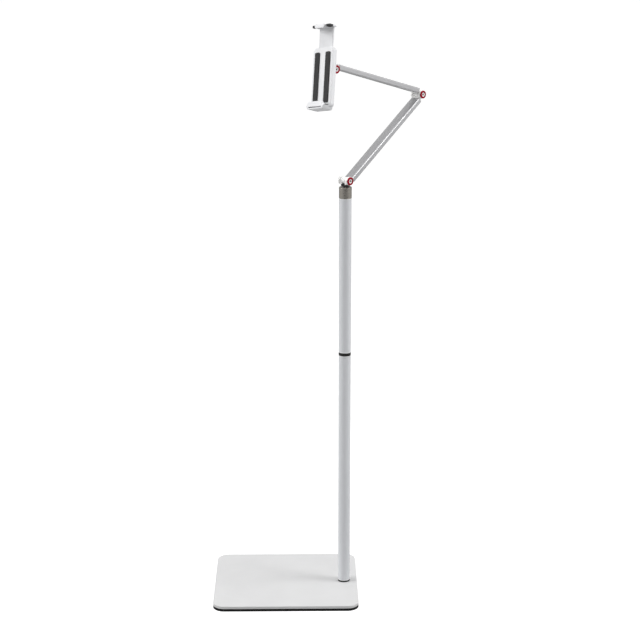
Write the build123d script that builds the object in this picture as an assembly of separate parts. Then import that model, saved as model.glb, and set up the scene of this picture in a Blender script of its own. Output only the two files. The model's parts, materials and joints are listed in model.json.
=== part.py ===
from build123d import *
import os
from math import acos, atan2, cos, hypot, radians, sin

os.makedirs("parts", exist_ok=True)

# All lengths are in millimetres and all angles in degrees.
# The origin is the middle of the base's underside: X runs along the base's width, Z is up.

# Base: steel plate on a rubber pad
base_width = 300.0
base_depth = 273.0
base_corner_radius = 24.0
pad_thickness = 5.5
plate_thickness = 5.5
plate_edge_radius = 0.8
pole_from_right_edge = 27.5
pole_ahead_of_middle = 5.0

# Bolt, washer and insert that hold the pole's foot to the plate
foot_bolt_radius = 5.0
foot_bolt_length = 30.0
foot_bolt_head_radius = 9.2
foot_bolt_head_height = 3.9
foot_washer_radius = 12.0
foot_washer_thickness = 1.5
foot_recess_depth = 2.5
foot_insert_length = 30.0
foot_ring_radius = 12.7
foot_ring_height = 3.4
foot_bush_radius = 9.0
pad_hole_margin = 2.0

# Pole: two tubes of one diameter, screwed together at a black ring
pole_diameter = 25.0
pole_wall = 1.2
lower_pole_length = 494.8
upper_pole_length = 320.0
joint_ring_radius = 12.7
joint_ring_height = 6.4
ring_edge_radius = 0.5
joint_stud_radius = 8.0
joint_stud_length = 24.0
joint_insert_length = 34.0

# Collar on the pole's top, with the swivel that turns in it
collar_radius = 12.8
collar_height = 22.7
collar_edge_radius = 0.5
collar_spigot_radius = 9.9
collar_spigot_length = 20.0
top_insert_length = 26.0
bush_radius = 5.95
bush_length = 14.5
nut_chamber_radius = 7.5
swivel_spindle_radius = 4.0
swivel_spindle_length = 31.5
swivel_neck_radius = 4.2
swivel_plate_width = 16.6
swivel_plate_depth = 9.0
swivel_plate_thickness = 4.2
swivel_nut_radius = 6.8
swivel_nut_height = 5.2
swivel_washer_radius = 7.2
swivel_washer_thickness = 0.6
shoulder_rise = 13.0

# Hinge: a tongue between two ears, on one bolt with a thumb knob
eye_radius = 6.3
tongue_thickness = 7.0
ear_thickness = 4.0
washer_thickness = 0.6
hinge_washer_radius = 6.0
hinge_bolt_radius = 3.0
hinge_head_radius = 4.75
hinge_head_height = 4.0
hex_key_radius = 2.0
hex_key_depth = 2.4
cap_radius = 8.5
cap_step_height = 4.1
cap_disc_radius = 5.1
cap_disc_rise = 1.8
cap_edge_radius = 0.6
accent_ring_outer_radius = 8.0
accent_ring_thickness = 2.7
accent_ring_edge_radius = 0.5
knob_radius = 8.75
knob_thickness = 5.0
knob_flute_radius = 1.1
knob_flute_count = 12
knob_edge_radius = 0.8
nut_radius = 5.0
nut_height = 3.5
fork_screw_radius = 1.25
fork_screw_head_radius = 2.0
fork_screw_head_height = 1.0
fork_screw_bite = 3.2

# Arms: flat aluminium tubes with moulded ends
arm_length = 262.0
arm_tube_width = 22.0
arm_tube_height = 10.2
arm_tube_wall = 1.5
arm_tube_corner_radius = 1.6
arm_bore_corner_radius = 0.8
arm_tube_setback = 10.5
arm_plug_length = 24.0
arm_fold_gap = 2.4
arm_screw_radius = 1.5
arm_screw_head_radius = 2.9
arm_screw_head_height = 1.4
arm_screw_length = 7.0

# Wrist head: tongue, flange and spindle that the holder rolls on
wrist_reach = 32.5
wrist_neck_length = 10.5
wrist_flange_radius = 13.0
wrist_flange_thickness = 2.8
roll_spindle_radius = 4.0
roll_spindle_length = 8.7
roll_washer_radius = 12.0
roll_washer_thickness = 0.6
roll_nut_radius = 6.4
roll_nut_height = 3.8

# Holder: the space that it grips, and its case
grip_height = 151.0
roll_axis_rise = 0.5
grip_depth = 7.5
case_width = 52.0
case_height = 117.0
case_drop = 4.0
case_depth = 10.0
case_wall = 2.4
case_corner_radius = 7.0
case_back_edge_radius = 2.0
cover_thickness = 2.4
cover_edge_radius = 0.8
grip_pad_thickness = 2.0
grip_pad_width = 12.0
grip_pad_margin = 9.0
grip_pad_corner_radius = 3.0
boss_radius = 2.2
boss_inset = 7.0
cover_boss_height = 3.0
cover_screw_radius = 1.2
cover_screw_head_radius = 2.0
cover_screw_head_height = 1.2

# Jaws: a sliding one above, a fixed tray below
jaw_opening_travel = 38.0
jaw_closing_travel = 22.0
blade_width = 36.0
blade_thickness = 4.0
blade_slot_margin = 1.1
blade_foot_length = 6.0
blade_lug_length = 4.0
blade_lug_drop = 24.0
jaw_thickness = 3.2
jaw_edge_radius = 1.2
upper_jaw_width = 47.0
jaw_centre_width = 27.0
jaw_pad_thickness = 1.5
jaw_pad_front_reach = 4.0
jaw_pad_back_reach = 5.0
lip_thickness = 3.5
upper_lip_overlap = 3.0
lower_lip_width = 38.0
lower_lip_overlap = 6.0
lower_jaw_top_width = 49.0
lower_jaw_bottom_width = 38.0
lower_jaw_height = 7.5
lower_jaw_edge_radius = 1.5
lower_jaw_front_reach = 9.8
lower_jaw_groove_width = 34.0
lower_jaw_groove_height = 2.2
lower_jaw_groove_depth = 6.0
lower_pad_tuck = 8.0
jaw_screw_radius = 1.5
jaw_screw_head_radius = 2.8
jaw_screw_head_height = 2.0
jaw_screw_bite = 3.4
jaw_screw_spread = 12.0
jaw_screw_boss_width = 8.0
spring_radius = 1.9
spring_wire_radius = 0.4
spring_peg_radius = 0.8
spring_peg_drop = 12.0

# Pose of the arms and the holder at rest
arm_heading = 46.0
lower_arm_elevation = 35.7
upper_arm_elevation = 15.9
holder_tilt = 14.5
holder_roll = 9.8

# Clearances
fit_gap = 0.1
pin_gap = 0.06
face_gap = 0.1
slide_gap = 0.3
swing_gap = 0.9
pad_clearance = 0.25
cut_overrun = 5.0

# Heights and places worked out from the sizes above
plate_top = pad_thickness + plate_thickness
pole_x = base_width / 2 - pole_from_right_edge
pole_radius = pole_diameter / 2
pole_bore = pole_radius - pole_wall
pole_y = -pole_ahead_of_middle
foot_ring_top = plate_top + foot_ring_height
joint_ring_bottom = foot_ring_top + lower_pole_length
upper_pole_bottom = joint_ring_bottom + joint_ring_height
collar_bottom = upper_pole_bottom + upper_pole_length
collar_top = collar_bottom + collar_height
insert_radius = pole_bore - fit_gap

ear_inner = tongue_thickness / 2 + washer_thickness + 2 * face_gap
ear_outer = ear_inner + ear_thickness
hinge_bore = hinge_bolt_radius + pin_gap
block_start = eye_radius + swing_gap

heading = radians(arm_heading)
swing_dir = Vector(sin(heading), cos(heading), 0)
hinge_dir = Vector(cos(heading), -sin(heading), 0)
up_dir = Vector(0, 0, 1)


def slope(elevation, way):
    """Unit vector in the arms' vertical plane: way is 1 away from the base, -1 back over it."""
    angle = radians(elevation)
    return swing_dir * (way * cos(angle)) + up_dir * sin(angle)


shoulder = Vector(pole_x, pole_y, collar_top + shoulder_rise)
elbow = shoulder + slope(lower_arm_elevation, 1) * arm_length
wrist = elbow + slope(upper_arm_elevation, -1) * arm_length
holder_front = slope(holder_tilt, -1)
holder_middle = wrist + holder_front * wrist_reach

shoulder_frame = Plane(origin=shoulder, x_dir=swing_dir, z_dir=hinge_dir)
elbow_frame = Plane(origin=elbow, x_dir=swing_dir, z_dir=hinge_dir)
lower_arm_frame = Plane(origin=shoulder, x_dir=slope(lower_arm_elevation, 1), z_dir=hinge_dir)
upper_arm_frame = Plane(origin=elbow, x_dir=slope(upper_arm_elevation, -1), z_dir=hinge_dir)
wrist_frame = Plane(origin=wrist, x_dir=hinge_dir, z_dir=holder_front)
roll = radians(holder_roll)
holder_side = hinge_dir * cos(roll) + holder_front.cross(hinge_dir) * sin(roll)
holder_frame = Plane(origin=holder_middle, x_dir=holder_side, z_dir=holder_front)
wrist_hinge_frame = Plane(origin=wrist, x_dir=slope(upper_arm_elevation, -1), z_dir=hinge_dir)


def block(x, y, z):
    """Box between a pair of limits on each axis."""
    size = [high - low for low, high in (x, y, z)]
    middle = [(low + high) / 2 for low, high in (x, y, z)]
    return Pos(*middle) * Box(*size)


def rod(radius, low, high, x=0, y=0):
    """Round bar along Z between two heights."""
    return Pos(x, y, (low + high) / 2) * Cylinder(radius, high - low)


def pipe(outer, inner, low, high):
    """Round bar with a bore right through."""
    return rod(outer, low, high) - rod(inner, low - cut_overrun, high + cut_overrun)


def hexagon(radius, low, high):
    """Hexagonal bar along Z, with radius to its corners."""
    return Pos(0, 0, low) * extrude(RegularPolygon(radius, 6), high - low)


def keep(name, shape, frame=None):
    """Place a finished piece and write it to its own file."""
    placed = frame.location * shape if frame else shape
    placed.label = name
    export_step(placed, f"parts/{name}.step")


def soften(shape, radius, axis, which):
    """Round the outline of the face that lies furthest along an axis."""
    face = shape.faces().sort_by(axis)[which]
    return fillet(face.outer_wire().edges(), radius)


# Base plate and pad

def rounded_slab(width, depth, radius, low, high):
    outline = RectangleRounded(width, depth, radius)
    return Pos(0, 0, low) * extrude(outline, high - low)


def at_pole(shape):
    return Pos(pole_x, pole_y, 0) * shape


recess_radius = foot_washer_radius + 2 * swing_gap
pad_hole_radius = foot_washer_radius + pad_hole_margin
recess_top = pad_thickness + foot_recess_depth

base_pad = rounded_slab(base_width, base_depth, base_corner_radius, 0, pad_thickness)
base_pad -= at_pole(rod(pad_hole_radius, -cut_overrun, pad_thickness + cut_overrun))

base_plate = rounded_slab(base_width, base_depth, base_corner_radius, pad_thickness, plate_top)
base_plate = soften(base_plate, plate_edge_radius, Axis.Z, -1)
base_plate -= at_pole(rod(recess_radius, pad_thickness - cut_overrun, recess_top))
base_plate -= at_pole(rod(foot_bolt_radius + fit_gap, pad_thickness, plate_top + cut_overrun))

washer_bottom = recess_top - foot_washer_thickness
foot_washer = pipe(foot_washer_radius, foot_bolt_radius + fit_gap, washer_bottom, recess_top)
head_bottom = washer_bottom - foot_bolt_head_height
foot_bolt = hexagon(foot_bolt_head_radius, head_bottom, washer_bottom)
foot_bolt += rod(foot_bolt_radius, washer_bottom, washer_bottom + foot_bolt_length)
foot_bore = foot_bolt_radius + pin_gap
foot_insert = pipe(insert_radius, foot_bore, foot_ring_top, foot_ring_top + foot_insert_length)
foot_insert += pipe(foot_bush_radius, foot_bore, plate_top, foot_ring_top)
foot_ring = pipe(foot_ring_radius, foot_bush_radius + fit_gap, plate_top, foot_ring_top)
foot_ring = soften(foot_ring, ring_edge_radius, Axis.Z, -1)

keep("base_pad", base_pad)
keep("base_plate", base_plate)
keep("foot_washer", at_pole(foot_washer))
keep("foot_bolt", at_pole(foot_bolt))
keep("foot_insert", at_pole(foot_insert))
keep("foot_ring", at_pole(foot_ring))

# Pole tubes and their joint

lower_pole = pipe(pole_radius, pole_bore, foot_ring_top, joint_ring_bottom)
upper_pole = pipe(pole_radius, pole_bore, upper_pole_bottom, collar_bottom)
joint_ring = rod(joint_ring_radius, joint_ring_bottom, upper_pole_bottom)
joint_ring = soften(joint_ring, ring_edge_radius, Axis.Z, -1)
joint_ring = soften(joint_ring, ring_edge_radius, Axis.Z, 0)
ring_cut = (joint_ring_bottom - cut_overrun, upper_pole_bottom + cut_overrun)
joint_ring -= rod(joint_stud_radius + fit_gap, *ring_cut)
pole_joiner = rod(insert_radius, joint_ring_bottom - joint_insert_length, joint_ring_bottom)
pole_joiner += rod(joint_stud_radius, joint_ring_bottom, upper_pole_bottom + joint_stud_length)
joint_insert_top = upper_pole_bottom + joint_insert_length
pole_joint_insert = pipe(insert_radius, joint_stud_radius + pin_gap, upper_pole_bottom, joint_insert_top)
top_insert_bottom = collar_bottom - top_insert_length
pole_top_insert = pipe(insert_radius, collar_spigot_radius + pin_gap, top_insert_bottom, collar_bottom)

keep("lower_pole", at_pole(lower_pole))
keep("upper_pole", at_pole(upper_pole))
keep("pole_joint_ring", at_pole(joint_ring))
keep("pole_joiner", at_pole(pole_joiner))
keep("pole_joint_insert", at_pole(pole_joint_insert))
keep("pole_top_insert", at_pole(pole_top_insert))

# Collar and its bush

bush_bottom = collar_top - bush_length
spigot_bottom = collar_bottom - collar_spigot_length
collar = soften(rod(collar_radius, collar_bottom, collar_top), collar_edge_radius, Axis.Z, -1)
collar += rod(collar_spigot_radius, spigot_bottom, collar_bottom)
collar -= rod(bush_radius + fit_gap / 2, bush_bottom - cut_overrun, collar_top + cut_overrun)
collar -= rod(nut_chamber_radius, spigot_bottom - cut_overrun, bush_bottom)
swivel_bush = pipe(bush_radius, swivel_spindle_radius + pin_gap, bush_bottom, collar_top)

keep("collar", at_pole(collar))
keep("swivel_bush", at_pole(swivel_bush))

# Swivel post and shoulder fork, drawn across the hinge axis: X away, Y up, Z along the hinge


def upright(radius, low, high, z=0):
    """Round bar along Y between two heights."""
    return Pos(0, (low + high) / 2, z) * Rot(-90, 0, 0) * Cylinder(radius, high - low)


def both_ears(outline):
    """Extrude an outline into the two ears, one on each side of the tongue."""
    ear = Pos(0, 0, ear_inner) * extrude(outline, ear_thickness)
    return ear + mirror(ear, about=Plane.XY)


fork_floor = -block_start
plate_floor = fork_floor - swivel_plate_thickness
collar_face = -shoulder_rise
washer_face = collar_face - bush_length - face_gap
nut_face = washer_face - swivel_washer_thickness
nut_floor = nut_face - swivel_nut_height
spindle_end = collar_face - swivel_spindle_length

swivel_post = upright(swivel_spindle_radius, spindle_end, plate_floor)
swivel_post += upright(swivel_neck_radius, collar_face + face_gap, plate_floor)
swivel_post += block(
    (-swivel_plate_depth / 2, swivel_plate_depth / 2),
    (plate_floor, fork_floor),
    (-swivel_plate_width / 2, swivel_plate_width / 2),
)
spindle_bore = swivel_spindle_radius + pin_gap
swivel_washer = upright(swivel_washer_radius, nut_face, washer_face)
swivel_washer -= upright(spindle_bore, nut_face - cut_overrun, washer_face + cut_overrun)
swivel_nut = Pos(0, nut_face, 0) * Rot(90, 0, 0) * hexagon(swivel_nut_radius, 0, swivel_nut_height)
swivel_nut -= upright(spindle_bore, nut_floor - cut_overrun, nut_face + cut_overrun)

ear_outline = Circle(eye_radius) + Pos(0, fork_floor / 2) * Rectangle(2 * eye_radius, -fork_floor)
shoulder_fork = both_ears(ear_outline)
shoulder_fork -= rod(hinge_bore, -ear_outer - cut_overrun, ear_outer + cut_overrun)

fork_screw_hole = fork_screw_radius + pin_gap
fork_screw_end = fork_floor + fork_screw_bite
fork_screw_place = (ear_inner + ear_outer) / 2
fork_screws = []
for place in (-fork_screw_place, fork_screw_place):
    hole = upright(fork_screw_hole, plate_floor - cut_overrun, fork_screw_end, place)
    shoulder_fork -= hole
    swivel_post -= hole
    shank = upright(fork_screw_radius, plate_floor, fork_screw_end, place)
    head_floor = plate_floor - fork_screw_head_height
    fork_screws.append(shank + upright(fork_screw_head_radius, head_floor, plate_floor, place))

keep("swivel_post", swivel_post, shoulder_frame)
keep("swivel_washer", swivel_washer, shoulder_frame)
keep("swivel_nut", swivel_nut, shoulder_frame)
keep("shoulder_fork", shoulder_fork, shoulder_frame)
keep("shoulder_fork_screws", Compound(fork_screws), shoulder_frame)

# Hinge hardware, the same at the shoulder, the elbow and the wrist


def hinge_bolt():
    nut_floor = -ear_outer - face_gap - nut_height
    bolt = rod(hinge_bolt_radius, nut_floor, ear_outer)
    bolt += rod(hinge_head_radius, ear_outer, ear_outer + hinge_head_height)
    head_top = ear_outer + hinge_head_height
    return bolt - hexagon(hex_key_radius, head_top - hex_key_depth, head_top + cut_overrun)


def hinge_cap():
    step_top = ear_outer + cap_step_height
    cap = soften(rod(cap_radius, ear_outer + slide_gap, step_top), cap_edge_radius, Axis.Z, -1)
    cap += rod(eye_radius, ear_outer, step_top)
    cap += rod(cap_disc_radius, ear_outer, step_top + cap_disc_rise)
    cap -= rod(hinge_head_radius + fit_gap, ear_outer - cut_overrun, ear_outer + hinge_head_height)
    return cap - rod(hex_key_radius + fit_gap, ear_outer, step_top + cap_disc_rise + cut_overrun)


def accent_ring():
    low = ear_outer + cap_step_height
    ring = pipe(accent_ring_outer_radius, cap_disc_radius + fit_gap, low, low + accent_ring_thickness)
    return soften(ring, accent_ring_edge_radius, Axis.Z, -1)


def hinge_washers():
    low = tongue_thickness / 2 + face_gap
    washer = pipe(hinge_washer_radius, hinge_bore, low, low + washer_thickness)
    return Compound([washer, mirror(washer, about=Plane.XY)])


def knob():
    high = -ear_outer - face_gap
    body = rod(knob_radius, high - knob_thickness, high)
    body = soften(body, knob_edge_radius, Axis.Z, 0)
    for turn in range(knob_flute_count):
        flute = rod(knob_flute_radius, high - knob_thickness - cut_overrun, high + cut_overrun, knob_radius)
        body -= Rot(0, 0, turn * 360 / knob_flute_count) * flute
    return body - hexagon(nut_radius + fit_gap, high - nut_height - fit_gap, high + cut_overrun)


def knob_nut():
    high = -ear_outer - face_gap
    nut = hexagon(nut_radius, high - nut_height, high)
    return nut - rod(hinge_bore, high - 2 * nut_height, high + cut_overrun)


for joint, frame in (("shoulder", shoulder_frame), ("elbow", elbow_frame), ("wrist", wrist_hinge_frame)):
    keep(f"{joint}_bolt", hinge_bolt(), frame)
    keep(f"{joint}_cap", hinge_cap(), frame)
    keep(f"{joint}_accent_ring", accent_ring(), frame)
    keep(f"{joint}_washers", hinge_washers(), frame)
    keep(f"{joint}_knob", knob(), frame)
    keep(f"{joint}_knob_nut", knob_nut(), frame)

# Arms: X runs along the arm, Z along the hinge, and the tube hangs below the line of the eyes

tube_top = -arm_fold_gap / 2
tube_bottom = tube_top - arm_tube_height
tube_middle = (tube_top + tube_bottom) / 2
bore_width = arm_tube_width - 2 * arm_tube_wall
bore_height = arm_tube_height - 2 * arm_tube_wall
plug_width = bore_width - 2 * fit_gap
plug_height = bore_height - 2 * fit_gap
screw_place = arm_tube_setback + arm_plug_length / 2
screw_tip = tube_bottom + arm_screw_length


def lug_outline():
    """Round eye with a web that runs back to the arm's end block."""
    reach = hypot(block_start, tube_top)
    lean = atan2(tube_top, block_start) + acos(eye_radius / reach)
    touch = (eye_radius * cos(lean), eye_radius * sin(lean))
    foot = (block_start, -eye_radius)
    web = Polygon((0, 0), (0, -eye_radius), foot, (block_start, tube_top), touch, align=None)
    return Circle(eye_radius) + web


def along_arm(outline, length):
    """Extrude a cross-section along X, its width along Z and its height along Y."""
    return extrude(Plane.YZ * Rot(0, 0, 90) * outline, length)


def along_height(radius, low, high, x):
    """Round bar along Y at a place along the arm."""
    return Pos(x, (low + high) / 2, 0) * Rot(-90, 0, 0) * Cylinder(radius, high - low)


def arm_plug(lugs):
    plug = lugs + block((block_start, arm_tube_setback), (tube_bottom, tube_top), (-ear_outer, ear_outer))
    insert = along_arm(RectangleRounded(plug_width, plug_height, arm_bore_corner_radius), arm_plug_length)
    plug += Pos(arm_tube_setback, tube_middle, 0) * insert
    plug -= rod(hinge_bore, -ear_outer - cut_overrun, ear_outer + cut_overrun)
    return plug - along_height(arm_screw_radius + pin_gap, tube_bottom, screw_tip, screw_place)


def tongue_plug():
    lug = Pos(0, 0, -tongue_thickness / 2) * extrude(lug_outline(), tongue_thickness)
    return arm_plug(lug)


def fork_plug():
    return arm_plug(both_ears(lug_outline()))


def arm_tube():
    outline = RectangleRounded(arm_tube_width, arm_tube_height, arm_tube_corner_radius)
    outline -= RectangleRounded(bore_width, bore_height, arm_bore_corner_radius)
    tube = along_arm(outline, arm_length - 2 * arm_tube_setback)
    tube = Pos(arm_tube_setback, tube_middle, 0) * tube
    for place in (screw_place, arm_length - screw_place):
        tube -= along_height(arm_screw_radius + pin_gap, tube_bottom - cut_overrun, tube_middle, place)
        head_top = tube_bottom + arm_screw_head_height
        tube -= along_height(arm_screw_head_radius + fit_gap, tube_bottom - cut_overrun, head_top, place)
    return tube


def arm_screws():
    screws = []
    for place in (screw_place, arm_length - screw_place):
        head = along_height(arm_screw_head_radius, tube_bottom, tube_bottom + arm_screw_head_height, place)
        screws.append(head + along_height(arm_screw_radius, tube_bottom, screw_tip, place))
    return Compound(screws)


def from_far_end(plug):
    return Pos(arm_length, 0, 0) * mirror(plug, about=Plane.YZ)


for arm, frame in (("lower_arm", lower_arm_frame), ("upper_arm", upper_arm_frame)):
    keep(f"{arm}_tube", arm_tube(), frame)
    keep(f"{arm}_tongue", tongue_plug(), frame)
    keep(f"{arm}_fork", from_far_end(fork_plug()), frame)
    keep(f"{arm}_screws", arm_screws(), frame)

# Wrist head, drawn with Z along the holder's roll axis and X along the hinge

flange_back = wrist_neck_length
flange_front = flange_back + wrist_flange_thickness
spindle_tip = flange_front + roll_spindle_length
roll_bore = roll_spindle_radius + pin_gap
tongue_half = tongue_thickness / 2
wrist_head = Rot(0, 90, 0) * rod(eye_radius, -tongue_half, tongue_half)
wrist_head += block((-tongue_half, tongue_half), (-eye_radius, eye_radius), (0, flange_back))
wrist_head += rod(wrist_flange_radius, flange_back, flange_front)
wrist_head += rod(roll_spindle_radius, flange_front, spindle_tip)
wrist_head -= Rot(0, 90, 0) * rod(hinge_bore, -eye_radius, eye_radius)

case_front = -grip_depth / 2 - pad_clearance - grip_pad_thickness - cover_thickness
case_back = case_front - case_depth
case_floor = case_back + case_wall
wall_outside = wrist_reach + case_back
wall_inside = wrist_reach + case_floor
washer_high = wall_outside - face_gap
roll_washer = pipe(roll_washer_radius, roll_bore, washer_high - roll_washer_thickness, washer_high)
spring_low = wall_inside + face_gap
spring_high = spring_low + roll_washer_thickness
roll_spring_washer = pipe(roll_nut_radius, roll_bore, spring_low, spring_high)
roll_nut = hexagon(roll_nut_radius, spring_high, spring_high + roll_nut_height)
roll_nut -= rod(roll_bore, spring_low, spring_high + 2 * roll_nut_height)

keep("wrist_head", wrist_head, wrist_frame)
keep("roll_washer", roll_washer, wrist_frame)
keep("roll_spring_washer", roll_spring_washer, wrist_frame)
keep("roll_nut", roll_nut, wrist_frame)

# Holder case: Z points to the front and Y up along the gripped device, with the roll axis in the origin

grip_top = grip_height / 2 - roll_axis_rise
grip_bottom = grip_top - grip_height
case_half = case_width / 2
case_bottom = grip_bottom - case_drop
case_top = case_bottom + case_height
case_middle = (case_top + case_bottom) / 2
cover_front = case_front + cover_thickness
boss_x = case_half - case_wall - boss_radius - fit_gap
boss_heights = (case_top - boss_inset, case_bottom + boss_inset)
boss_places = [(side * boss_x, height) for side in (-1, 1) for height in boss_heights]
boss_split = case_front - cover_boss_height
blade_half = blade_width / 2
blade_back = case_floor + slide_gap
blade_front = blade_back + blade_thickness
blade_depth = (blade_back, blade_front)
blade_cut = (blade_back - cut_overrun, blade_front + cut_overrun)
spring_x = (blade_half + slide_gap + case_half - case_wall) / 2
spring_z = blade_back + blade_thickness / 2 + spring_radius / 2
peg_place = case_bottom + spring_peg_drop
spring_low_end = peg_place + spring_peg_radius
lug_bottom = -blade_lug_drop
jaw_screw_z = (case_back + case_front) / 2
jaw_screw_tip = case_bottom + case_wall + jaw_screw_bite


def case_slab(low, high, inset=0):
    """Rounded slab of the case's outline, drawn in by an inset on every side."""
    width = case_width - 2 * inset
    outline = RectangleRounded(width, case_height - 2 * inset, case_corner_radius - inset)
    return Pos(0, case_middle, low) * extrude(outline, high - low)


def along_y(radius, low, high, x, z):
    """Round bar along Y between two heights."""
    return Pos(x, (low + high) / 2, z) * Rot(-90, 0, 0) * Cylinder(radius, high - low)


rear_shell = soften(case_slab(case_back, case_front), case_back_edge_radius, Axis.Z, 0)
rear_shell -= case_slab(case_floor, case_front + cut_overrun, case_wall)
rear_shell -= rod(roll_bore, case_back - cut_overrun, case_front)
rear_shell -= block(
    (-blade_half - slide_gap, blade_half + slide_gap),
    (case_top - 2 * case_wall, case_top + cut_overrun),
    (case_floor, blade_front + slide_gap),
)
cover = case_slab(case_front, cover_front)
cover = soften(cover, cover_edge_radius, Axis.Z, -1)
cover_screws = []
screw_bore = cover_screw_radius + pin_gap
screw_seat = case_back + cover_screw_head_height
for x, y in boss_places:
    rear_shell += rod(boss_radius, case_floor, boss_split, x, y)
    rear_shell -= rod(screw_bore, case_back - cut_overrun, boss_split + cut_overrun, x, y)
    rear_shell -= rod(cover_screw_head_radius + fit_gap, case_back - cut_overrun, screw_seat, x, y)
    cover += rod(boss_radius, boss_split, case_front, x, y)
    cover -= rod(screw_bore, boss_split - cut_overrun, case_front, x, y)
    screw = rod(cover_screw_head_radius, case_back, screw_seat, x, y)
    cover_screws.append(screw + rod(cover_screw_radius, case_back, case_front - fit_gap, x, y))

for side in (-1, 1):
    rear_shell += rod(spring_peg_radius, case_floor, spring_z + spring_radius, side * spring_x, peg_place)
    x = side * jaw_screw_spread
    rear_shell += block(
        (x - jaw_screw_boss_width / 2, x + jaw_screw_boss_width / 2),
        (case_bottom + case_wall / 2, jaw_screw_tip),
        (case_floor - case_wall / 2, case_front - fit_gap),
    )
    bore_ends = (case_bottom - cut_overrun, jaw_screw_tip + cut_overrun)
    rear_shell -= along_y(jaw_screw_radius + pin_gap, *bore_ends, x, jaw_screw_z)

grip_pad_height = case_height - 2 * grip_pad_margin
grip_pads = []
for side in (-1, 1):
    outline = RectangleRounded(grip_pad_width, grip_pad_height, grip_pad_corner_radius)
    place = Pos(side * (case_half - grip_pad_width), case_middle, cover_front)
    grip_pads.append(place * extrude(outline, grip_pad_thickness))

keep("rear_shell", rear_shell, holder_frame)
keep("front_cover", cover, holder_frame)
keep("cover_screws", Compound(cover_screws), holder_frame)
keep("back_grip_pads", Compound(grip_pads), holder_frame)

# Upper jaw: a slotted blade that slides in the case, with a shelf and a front lip

slot_half = roll_nut_radius + blade_slot_margin
slot_top = jaw_closing_travel + slot_half
slot_bottom = -jaw_opening_travel - slot_half
blade_bottom = slot_bottom - blade_foot_length
jaw_seat = grip_top + jaw_pad_thickness
jaw_top = jaw_seat + jaw_thickness
lip_back = grip_depth / 2 + pad_clearance + jaw_pad_thickness
lip_front = lip_back + lip_thickness
lip_edge = grip_top - upper_lip_overlap
upper_half = upper_jaw_width / 2
centre_half = jaw_centre_width / 2
lug_reach = case_half - case_wall - slide_gap

upper_jaw = block((-centre_half, centre_half), (jaw_seat, jaw_top), (blade_back, lip_front))
upper_jaw += block((-centre_half, centre_half), (lip_edge, jaw_top), (lip_back, lip_front))
front_edges = upper_jaw.edges().filter_by(Axis.X).sort_by(Axis.Z)[-2:]
upper_jaw = fillet(front_edges, jaw_edge_radius)
upper_jaw += block((-upper_half, upper_half), (jaw_seat, jaw_top), (blade_back, -jaw_pad_back_reach))
upper_jaw += block((-blade_half, blade_half), (blade_bottom, jaw_seat), blade_depth)
upper_jaw += block((-lug_reach, lug_reach), (lug_bottom, lug_bottom + blade_lug_length), blade_depth)
upper_jaw -= block((-slot_half, slot_half), (slot_bottom, slot_top), blade_cut)
upper_jaw_pads = []
for side in (-1, 1):
    ends = sorted((side * (centre_half + face_gap), side * upper_half))
    depth = (-jaw_pad_back_reach, jaw_pad_front_reach)
    upper_jaw_pads.append(block(ends, (grip_top, jaw_top), depth))

keep("upper_jaw", upper_jaw, holder_frame)
keep("upper_jaw_pads", Compound(upper_jaw_pads), holder_frame)

# Springs that pull the upper jaw closed, beside the blade

spring_bore = spring_radius - 2 * spring_wire_radius
springs = []
for side in (-1, 1):
    spring = along_y(spring_radius, spring_low_end, lug_bottom, side * spring_x, spring_z)
    bore_ends = (spring_low_end - cut_overrun, lug_bottom + cut_overrun)
    springs.append(spring - along_y(spring_bore, *bore_ends, side * spring_x, spring_z))
keep("jaw_springs", Compound(springs), holder_frame)

# Lower jaw: a tray with a front lip, screwed under the case

tray_top = grip_bottom - jaw_pad_thickness
tray_floor = tray_top - lower_jaw_height
groove_middle = (tray_top + tray_floor) / 2
tray_outline = Polygon(
    (-lower_jaw_top_width / 2, tray_top),
    (-lower_jaw_bottom_width / 2, tray_floor),
    (lower_jaw_bottom_width / 2, tray_floor),
    (lower_jaw_top_width / 2, tray_top),
    align=None,
)
tray_outline = fillet(tray_outline.vertices().sort_by(Axis.Y)[:2], lower_jaw_edge_radius)
lower_jaw = Pos(0, 0, case_back) * extrude(tray_outline, lower_jaw_front_reach - case_back)
lower_jaw -= block(
    (-lower_jaw_top_width, lower_jaw_top_width),
    (case_bottom, case_bottom + case_height),
    (case_back - cut_overrun, cover_front),
)
lower_jaw += block(
    (-lower_lip_width / 2, lower_lip_width / 2),
    (groove_middle, grip_bottom + lower_lip_overlap),
    (lip_back, lower_jaw_front_reach),
)
lower_jaw -= block(
    (-lower_jaw_groove_width / 2, lower_jaw_groove_width / 2),
    (groove_middle - lower_jaw_groove_height / 2, groove_middle + lower_jaw_groove_height / 2),
    (lower_jaw_front_reach - lower_jaw_groove_depth, lower_jaw_front_reach + cut_overrun),
)
jaw_screw_seat = tray_floor + jaw_screw_head_height
jaw_screws = []
lower_jaw_pads = []
for side in (-1, 1):
    x = side * jaw_screw_spread
    bore_ends = (tray_floor - cut_overrun, case_bottom + cut_overrun)
    seat_ends = (tray_floor - cut_overrun, jaw_screw_seat)
    lower_jaw -= along_y(jaw_screw_radius + pin_gap, *bore_ends, x, jaw_screw_z)
    lower_jaw -= along_y(jaw_screw_head_radius + fit_gap, *seat_ends, x, jaw_screw_z)
    head = along_y(jaw_screw_head_radius, tray_floor, jaw_screw_seat, x, jaw_screw_z)
    jaw_screws.append(head + along_y(jaw_screw_radius, tray_floor, jaw_screw_tip, x, jaw_screw_z))
    ends = sorted((side * (lower_lip_width / 2 - lower_pad_tuck), side * upper_half))
    depth = (-jaw_pad_back_reach, jaw_pad_front_reach)
    lower_jaw_pads.append(block(ends, (tray_top, grip_bottom), depth))

keep("lower_jaw", lower_jaw, holder_frame)
keep("lower_jaw_screws", Compound(jaw_screws), holder_frame)
keep("lower_jaw_pads", Compound(lower_jaw_pads), holder_frame)
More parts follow.
